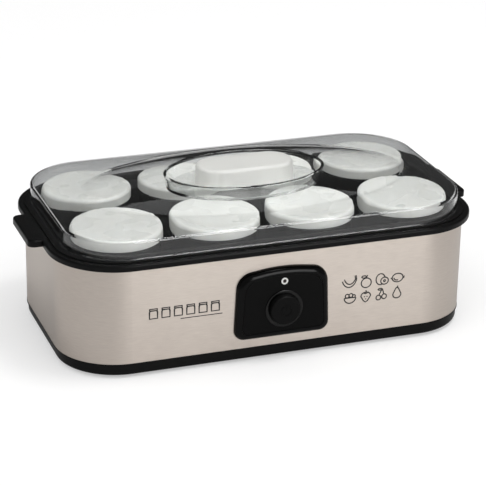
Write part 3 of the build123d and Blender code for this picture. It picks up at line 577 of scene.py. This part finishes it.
def grip_skin(bm, inset, ring):
    """Grows a skin of the grip from its foot to its top and closes it."""
    top_x, top_y = grip_half_x - inset, grip_half_y - inset
    top = grip_top - inset
    top_round = grip_round - inset / 2
    for step in range(grip_steps + 1):
        angle = step / grip_steps * math.pi / 2
        pull = top_round * (1 - math.cos(angle))
        height = top - top_round + top_round * math.sin(angle)
        points = rounded_ring(top_x - pull, top_y - pull, top_y - pull)
        ring = next_ring(bm, ring, points, height)
    close_ring(bm, ring)


# %% Build the cover
def clear_cover():
    bm = bmesh.new()
    outline = rounded_ring(cover_half_x, cover_half_y, cover_corner)
    outer_foot = first_ring(bm, outline, skirt_bottom)
    inner_outline = rounded_ring(
        cover_half_x - cover_wall, cover_half_y - cover_wall, cover_corner - cover_wall
    )
    inner_foot = next_ring(bm, outer_foot, inner_outline, skirt_bottom)
    outer_end = cover_skin(bm, 0.0, outer_foot)
    inner_end = cover_skin(bm, cover_wall, inner_foot)
    # wall of the opening under the grip
    bmesh.ops.bridge_loops(bm, edges=ring_edges(bm, outer_end) + ring_edges(bm, inner_end))
    return finish_piece(bm, "clear_cover", "cover_body", "clear_cover", ["cover"])


def frosted_grip():
    bm = bmesh.new()
    outer_foot = first_ring(bm, grip_foot(0.0), recess_floor)
    inner_foot = next_ring(bm, outer_foot, grip_foot(cover_wall), recess_floor - cover_wall)
    grip_skin(bm, 0.0, outer_foot)
    grip_skin(bm, cover_wall, inner_foot)
    piece = finish_piece(bm, "frosted_grip", "cover_body", "clear_cover")
    piece.data.materials[0] = finishes["frosted_cover"]
    return piece


clear_cover()
frosted_grip()


# %% [markdown]
# ## Caps and jars
#
# Each cap is turned about its own upright axis: a spun profile gives a perfectly round edge in
# one step, where a cylinder would need its corner rounded and its top inset afterwards. The top
# has a raised border, a shallow step down to a flat field, and a soft outer corner. The jar
# below it is turned in the same way, with a heavy base, a shoulder and a beaded mouth.


# %% Turned pieces
def turned(profile, centre, axis=Vector((0, 0, 1)), steps=96):
    """A closed shape spun from a profile of (radius, along) in millimetres."""
    bm = bmesh.new()
    side = Vector((1, 0, 0))
    places = [(centre + side * radius + axis * along) * MM for radius, along in profile]
    verts = [bm.verts.new(place) for place in places]
    edges = [bm.edges.new(pair) for pair in zip(verts, verts[1:])]
    if profile[0][0] > 0:
        edges.append(bm.edges.new((verts[-1], verts[0])))
    bmesh.ops.spin(
        bm,
        geom=verts + edges,
        cent=centre * MM,
        axis=axis,
        angle=2 * math.pi,
        steps=steps,
        use_merge=True,
    )
    bmesh.ops.remove_doubles(bm, verts=bm.verts, dist=0.01 * MM)
    bmesh.ops.recalc_face_normals(bm, faces=bm.faces)
    return bm


def cap_profile(low, high, radius):
    """Section of a cap from the middle of its underside round to the middle of its top."""
    border = radius * 0.78
    wall = 1.5
    top_wall = 1.8
    step = 0.5
    underside = high - top_wall
    soft = 2.4
    corner = [
        (
            radius - soft + soft * math.cos(math.radians(angle)),
            high - soft + soft * math.sin(math.radians(angle)),
        )
        for angle in range(0, 91, 15)
    ]
    return [
        (0, underside),
        (radius - wall, underside),
        (radius - wall, low),
        (radius, low),
        *corner,
        (border + step, high),
        (border - step, high - step),
        (0, high - step),
    ]


jar_total = sum(name.startswith("jar_cap_") for name in frame["nodes"])
for number in range(1, jar_total + 1):
    low, high = span(f"jar_cap_{number}")
    middle = Vector(((low.x + high.x) / 2, (low.y + high.y) / 2, 0))
    cap = turned(cap_profile(low.z, high.z, (high.x - low.x) / 2), middle)
    soften(cap, 0.3, steps=2, least_angle=35)
    finish_piece(cap, f"white_cap_{number}", f"cap_body_{number}", "cap_white", [f"jar_cap_{number}"])

# %% Glass jars
def jar_profile(low, high, radius):
    """Section of a jar: heavy base, rounded heel, straight wall, short neck, beaded mouth."""
    wall = 2.4
    base = 3.6
    heel = 3.0
    neck = radius - 2.1
    bead = radius - 0.8
    bore = neck - wall
    shoulder = high - low - 7.5
    heel_arc = [
        (
            radius - heel + heel * math.sin(math.radians(angle)),
            low + heel - heel * math.cos(math.radians(angle)),
        )
        for angle in range(0, 91, 15)
    ]
    return [
        (0, low + 0.8),
        (radius - 9.0, low + 0.8),
        (radius - 7.5, low),
        *heel_arc,
        (radius, low + shoulder),
        (neck, low + shoulder + 2.4),
        (neck, high - 4.0),
        (bead, high - 3.0),
        (bead, high - 0.8),
        (bead - 0.8, high),
        (bore + 0.8, high),
        (bore, high - 0.8),
        (bore, low + shoulder + 1.5),
        (radius - wall, low + shoulder - 4.0),
        (radius - wall, low + base + 6.0),
        (radius - wall - 1.8, low + base + 1.8),
        (radius - wall - 6.0, low + base),
        (0, low + base),
    ]


for number in range(1, jar_total + 1):
    low, high = span(f"jar_{number}")
    middle = Vector(((low.x + high.x) / 2, (low.y + high.y) / 2, 0))
    jar = turned(jar_profile(low.z, high.z, (high.x - low.x) / 2), middle)
    finish_piece(jar, f"glass_jar_{number}", f"jar_body_{number}", "jar_glass", [f"jar_{number}"])

# %% [markdown]
# ## The control panel
#
# A glossy frame bulges out of the steel round a flat satin plate. Its outline is a trapezoid
# with an arched top and generous corners, and its side is a quarter of an oval in section. A
# bevelled block would look flat here, because the highlight along the top edge shows the bulge,
# so the frame is grown ring by ring: each ring is the outline, set in a little more and further
# forward.

# %% Outline of the panel
panel_foot, panel_top = 37.4, 35.2
panel_low, panel_side, panel_peak = 18.6, 70.3, 75.2
panel_low_corner, panel_top_corner, panel_arch = 7.5, 13.5, 120.0
panel_bevel = 4.6
fascia_edge = 5.1


def panel_ring(inset, steps=10):
    """Points round the panel's outline, set in by an inset: five corners, each rounded."""
    corners = [
        (panel_foot - inset, panel_low + inset, panel_low_corner - inset / 2),
        (panel_top - inset, panel_side - inset, panel_top_corner - inset / 2),
        (0, panel_peak - inset, panel_arch),
        (-panel_top + inset, panel_side - inset, panel_top_corner - inset / 2),
        (-panel_foot + inset, panel_low + inset, panel_low_corner - inset / 2),
    ]
    points = []
    for index, (x, z, radius) in enumerate(corners):
        corner = Vector((x, z))
        before = (Vector(corners[index - 1][:2]) - corner).normalized()
        after = (Vector(corners[(index + 1) % len(corners)][:2]) - corner).normalized()
        half_angle = before.angle(after) / 2
        centre = corner + (before + after).normalized() * radius / math.sin(half_angle)
        start = corner + before * radius / math.tan(half_angle) - centre
        end = corner + after * radius / math.tan(half_angle) - centre
        sweep = math.pi - 2 * half_angle
        for step in range(steps + 1):
            share = step / steps
            blend = start * math.sin((1 - share) * sweep) + end * math.sin(share * sweep)
            points.append(centre + blend / math.sin(sweep))
    return points


# %% Glossy frame of the panel
panel_depth = band_low.y - fascia_low.y
bezel = bmesh.new()
front = fascia_low.y
ring = first_ring(bezel, panel_ring(0), band_low.y + 0.4, True)
for step in range(9):
    angle = math.radians(90 * step / 8)
    inset = panel_bevel * (1 - math.cos(angle))
    depth = band_low.y - panel_depth * math.sin(angle)
    ring = next_ring(bezel, ring, panel_ring(inset), depth, True)
ring = next_ring(bezel, ring, panel_ring(fascia_edge - 0.1), front, True)
ring = next_ring(bezel, ring, panel_ring(fascia_edge), front + 0.1, True)
ring = next_ring(bezel, ring, panel_ring(fascia_edge), front + 1.0, True)
finish_piece(bezel, "panel_frame", "housing", "bezel_gloss", ["control_bezel"])

# %% Satin plate of the panel
button_low, button_high = span("power_button")
button_height = (button_low.z + button_high.z) / 2
sleeve_radius = 12.8


def circle_like(points, radius, centre_x, centre_z):
    """Points on a circle, each in the direction of the matching point of an outline."""
    centre = Vector((centre_x, centre_z))
    return [centre + (point - centre).normalized() * radius for point in points]


plate = bmesh.new()
outline = panel_ring(fascia_edge + 0.25)
ring = first_ring(plate, outline, front + 1.2, True)
ring = next_ring(plate, ring, outline, front + 0.15, True)
ring = next_ring(plate, ring, panel_ring(fascia_edge + 0.45), front, True)
hole = circle_like(outline, sleeve_radius, 0, button_height)
ring = next_ring(plate, ring, hole, front, True)
ring = next_ring(plate, ring, hole, front + 1.2, True)
finish_piece(plate, "panel_plate", "housing", "fascia_gloss", ["control_fascia"])

# %% [markdown]
# ## Printed pictograms
#
# The steel carries small black line drawings of fruit, screen-printed, and a plain maker's sign of
# six little jars over a rule. Print could be a mask in the steel's material, but as thin ink
# lines it keeps crisp edges at any distance. Each line is a curve with a round section, pressed
# flat against the steel.

# %% Ink and line helpers
finishes["ink"] = moulded_plastic("screen_ink", "#0B0A0A", 0.45, 1.0, 0.002)
ink_depth = 0.04
front_y = band_low.y


def arc(centre_x, centre_z, radius_x, radius_z, start, end, steps=24):
    """Points along part of an ellipse, with angles in degrees."""
    points = []
    for step in range(steps + 1):
        angle = math.radians(start + (end - start) * step / steps)
        points.append((centre_x + radius_x * math.cos(angle), centre_z + radius_z * math.sin(angle)))
    return points


def ink_lines(name, strokes, place_x, place_z, size, thickness=0.8):
    """Printed lines: strokes in a unit box, scaled to a size in mm and laid on the steel."""
    curve = bpy.data.curves.new(name, "CURVE")
    curve.dimensions = "3D"
    curve.bevel_depth = thickness / 2 * MM
    curve.bevel_resolution = 2
    curve.use_fill_caps = True
    for stroke in strokes:
        spline = curve.splines.new("POLY")
        spline.points.add(len(stroke) - 1)
        for point, (across, up) in zip(spline.points, stroke):
            point.co = (across * size * MM, 0, up * size * MM, 1)
    drawn = bpy.data.objects.new(name + "_curve", curve)
    bpy.context.scene.collection.objects.link(drawn)
    mesh = bpy.data.meshes.new_from_object(drawn)
    bpy.data.objects.remove(drawn)
    flat = Matrix.Diagonal((1, ink_depth / thickness, 1, 1))
    mesh.transform(Matrix.Translation(Vector((place_x, front_y, place_z)) * MM) @ flat)
    mesh.materials.clear()
    mesh.materials.append(finishes["ink"])
    piece = bpy.data.objects.new(name, mesh)
    bpy.context.scene.collection.objects.link(piece)
    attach(piece, "housing")
    return piece


# %% Drawings in a unit box
banana = [
    arc(-0.1, 0.55, 0.62, 0.85, 200, 345),
    arc(-0.05, 0.75, 0.52, 0.80, 205, 330),
    [(0.50, 0.33), (0.46, 0.62), (0.36, 0.60), (0.40, 0.35)],
]
orange = [
    arc(0, -0.1, 0.42, 0.40, 0, 360),
    [(0, 0.30), (0.08, 0.55)],
    arc(-0.2, 0.42, 0.2, 0.09, 0, 360, 12),
]
avocado = [
    arc(-0.12, 0.05, 0.38, 0.46, 20, 300),
    arc(0.22, -0.12, 0.32, 0.30, 0, 360),
    arc(0.22, -0.12, 0.08, 0.08, 0, 360, 10),
]
lemon = [
    arc(0, 0, 0.46, 0.36, 0, 360),
    [(0.44, 0.0), (0.58, 0.08), (0.52, -0.1)],
    [(-0.44, 0.04), (-0.56, 0.0), (-0.46, -0.08)],
    arc(-0.04, -0.02, 0.26, 0.18, 170, 290, 10),
]
bowl = [
    arc(0, 0.05, 0.48, 0.46, 180, 360),
    [(-0.48, 0.05), (0.48, 0.05)],
    arc(-0.24, 0.22, 0.16, 0.16, 0, 360, 12),
    arc(0.08, 0.24, 0.16, 0.16, 0, 360, 12),
    arc(0.32, 0.16, 0.12, 0.12, -30, 200, 10),
]
strawberry = [
    [*arc(0, 0.05, 0.40, 0.30, -10, 190), (-0.18, -0.35), (0, -0.48), (0.18, -0.35), (0.39, 0.0)],
    [(-0.24, 0.34), (0, 0.22), (0.24, 0.34), (0.04, 0.36), (0, 0.52)],
    [(-0.12, 0.02), (-0.10, -0.06)],
    [(0.12, 0.02), (0.10, -0.06)],
    [(0.0, -0.18), (0.0, -0.26)],
]
cherries = [
    arc(-0.24, -0.25, 0.20, 0.20, 0, 360, 18),
    arc(0.24, -0.20, 0.20, 0.20, 0, 360, 18),
    [(-0.20, -0.05), (-0.06, 0.25), (0.06, 0.46)],
    [(0.20, 0.0), (0.14, 0.25), (0.06, 0.46)],
    arc(-0.12, 0.44, 0.18, 0.07, 0, 360, 12),
]
pear = [
    [*arc(0, -0.18, 0.34, 0.30, 150, 390, 20), *arc(0, 0.22, 0.16, 0.18, 10, 170, 12)],
    [(-0.16, 0.25), (-0.29, -0.03)],
    [(0, 0.40), (0.06, 0.56)],
]
jar_sign = [
    [(-0.3, 0.28), (-0.36, 0.16), (-0.36, -0.44), (0.36, -0.44), (0.36, 0.16), (0.3, 0.28)],
    [(-0.34, 0.30), (-0.34, 0.46), (0.34, 0.46), (0.34, 0.30), (-0.34, 0.30)],
]

# %% Print the drawings on the steel
icon_size = 9.6
icon_line = 0.95
icon_columns = (54.5, 67.2, 79.9, 92.6)
icon_rows = (52.2, 40.2)
drawings = {
    "print_banana": banana,
    "print_orange": orange,
    "print_avocado": avocado,
    "print_lemon": lemon,
    "print_bowl": bowl,
    "print_strawberry": strawberry,
    "print_cherries": cherries,
    "print_pear": pear,
}
for index, (name, strokes) in enumerate(drawings.items()):
    ink_lines(name, strokes, icon_columns[index % 4], icon_rows[index // 4], icon_size, icon_line)
sign_start, sign_step, sign_height, sign_total = -98.5, 9.4, 48.6, 6
for index in range(sign_total):
    place_x = sign_start + index * sign_step
    ink_lines(f"print_sign_{index + 1}", jar_sign, place_x, sign_height, 8.4, thickness=1.15)
ink_lines("print_rule", [[(-0.5, 0), (0.5, 0)]], -62.0, 42.2, 32.0, thickness=0.7)
print("printed", len(drawings), "pictograms and", sign_total, "sign jars")

# %% [markdown]
# ## Studio
#
# The machine stands on a white sweep. Most of the light comes from a broad, even ceiling, which
# glossy surfaces don't mirror, so that black plastic stays black and the cover stays clear. The
# world is dim in front of the machine and nearly dark behind it, because the level tops mirror
# what is behind. A small softbox overhead draws the bright line along the cover's rounded edge,
# and a larger one in front gives only reflections, mostly in the steel, and lights nothing
# directly. The paper glows a little, but only as the camera sees it, so that it looks white
# without being mirrored any brighter in the black plastic.

# %% Floor
floor_mesh = bpy.data.meshes.new("floor")
bm = bmesh.new()
bmesh.ops.create_grid(bm, x_segments=1, y_segments=1, size=6.0)
bm.to_mesh(floor_mesh)
bm.free()
floor = bpy.data.objects.new("floor", floor_mesh)
bpy.context.scene.collection.objects.link(floor)
paper_glow = 0.42
paper, paper_tree, paper_shader = new_finish("studio_paper", "#CCCCCC", Roughness=0.9)
paper_shader.inputs["Emission Color"].default_value = linear("#FFFFFF")
seen = add_node(paper_tree, "ShaderNodeLightPath")
glow = add_node(
    paper_tree,
    "ShaderNodeMath",
    {0: seen.outputs["Is Camera Ray"], 1: paper_glow},
    operation="MULTIPLY",
)
paper_tree.links.new(glow.outputs[0], paper_shader.inputs["Emission Strength"])
paper_grain = noise(paper_tree, 3.0)
raise_grain(paper_tree, paper_shader, paper_grain, 0.02, 0.2)
floor_mesh.materials.append(paper)

# %% World and lamps
sky_in_front, sky_behind = 0.30, 0.07
world = bpy.data.worlds.new("studio_world")
world.use_nodes = True
sky = world.node_tree
direction = add_node(sky, "ShaderNodeTexCoord")
axes = add_node(sky, "ShaderNodeSeparateXYZ", {"Vector": direction.outputs["Generated"]})
brightness = add_node(
    sky,
    "ShaderNodeMapRange",
    {
        "Value": axes.outputs["Y"],
        "From Min": -0.3,
        "From Max": 0.3,
        "To Min": sky_in_front,
        "To Max": sky_behind,
    },
)
sky.links.new(brightness.outputs[0], sky.nodes["Background"].inputs["Strength"])
sky.nodes["Background"].inputs["Color"].default_value = linear("#FFFFFF")
bpy.context.scene.world = world
bpy.context.scene.view_settings.view_transform = "Standard"


def softbox(name, place, aim, width, height, power, only_mirrored=False):
    """Rectangular lamp at a place, facing an aim point."""
    lamp = bpy.data.lights.new(name, "AREA")
    lamp.shape = "RECTANGLE"
    lamp.size, lamp.size_y = width, height
    lamp.energy = power
    holder = bpy.data.objects.new(name, lamp)
    holder.location = place
    holder.rotation_euler = (Vector(aim) - Vector(place)).to_track_quat("-Z", "Y").to_euler()
    holder.visible_diffuse = not only_mirrored
    bpy.context.scene.collection.objects.link(holder)


softbox("overhead", (0.40, -0.30, 1.5), (0, 0, 0.05), 0.45, 0.35, 5.0)
softbox("front_box", (0.42, -1.25, 0.50), (0, 0, 0.05), 0.7, 0.8, 9.0, True)

ceiling = bpy.data.lights.new("ceiling", "SUN")
ceiling.energy = 2.25
ceiling.angle = math.radians(120)
ceiling_holder = bpy.data.objects.new("ceiling", ceiling)
ceiling_holder.rotation_euler = (math.radians(12), math.radians(-8), 0)
ceiling_holder.visible_glossy = False
bpy.context.scene.collection.objects.link(ceiling_holder)
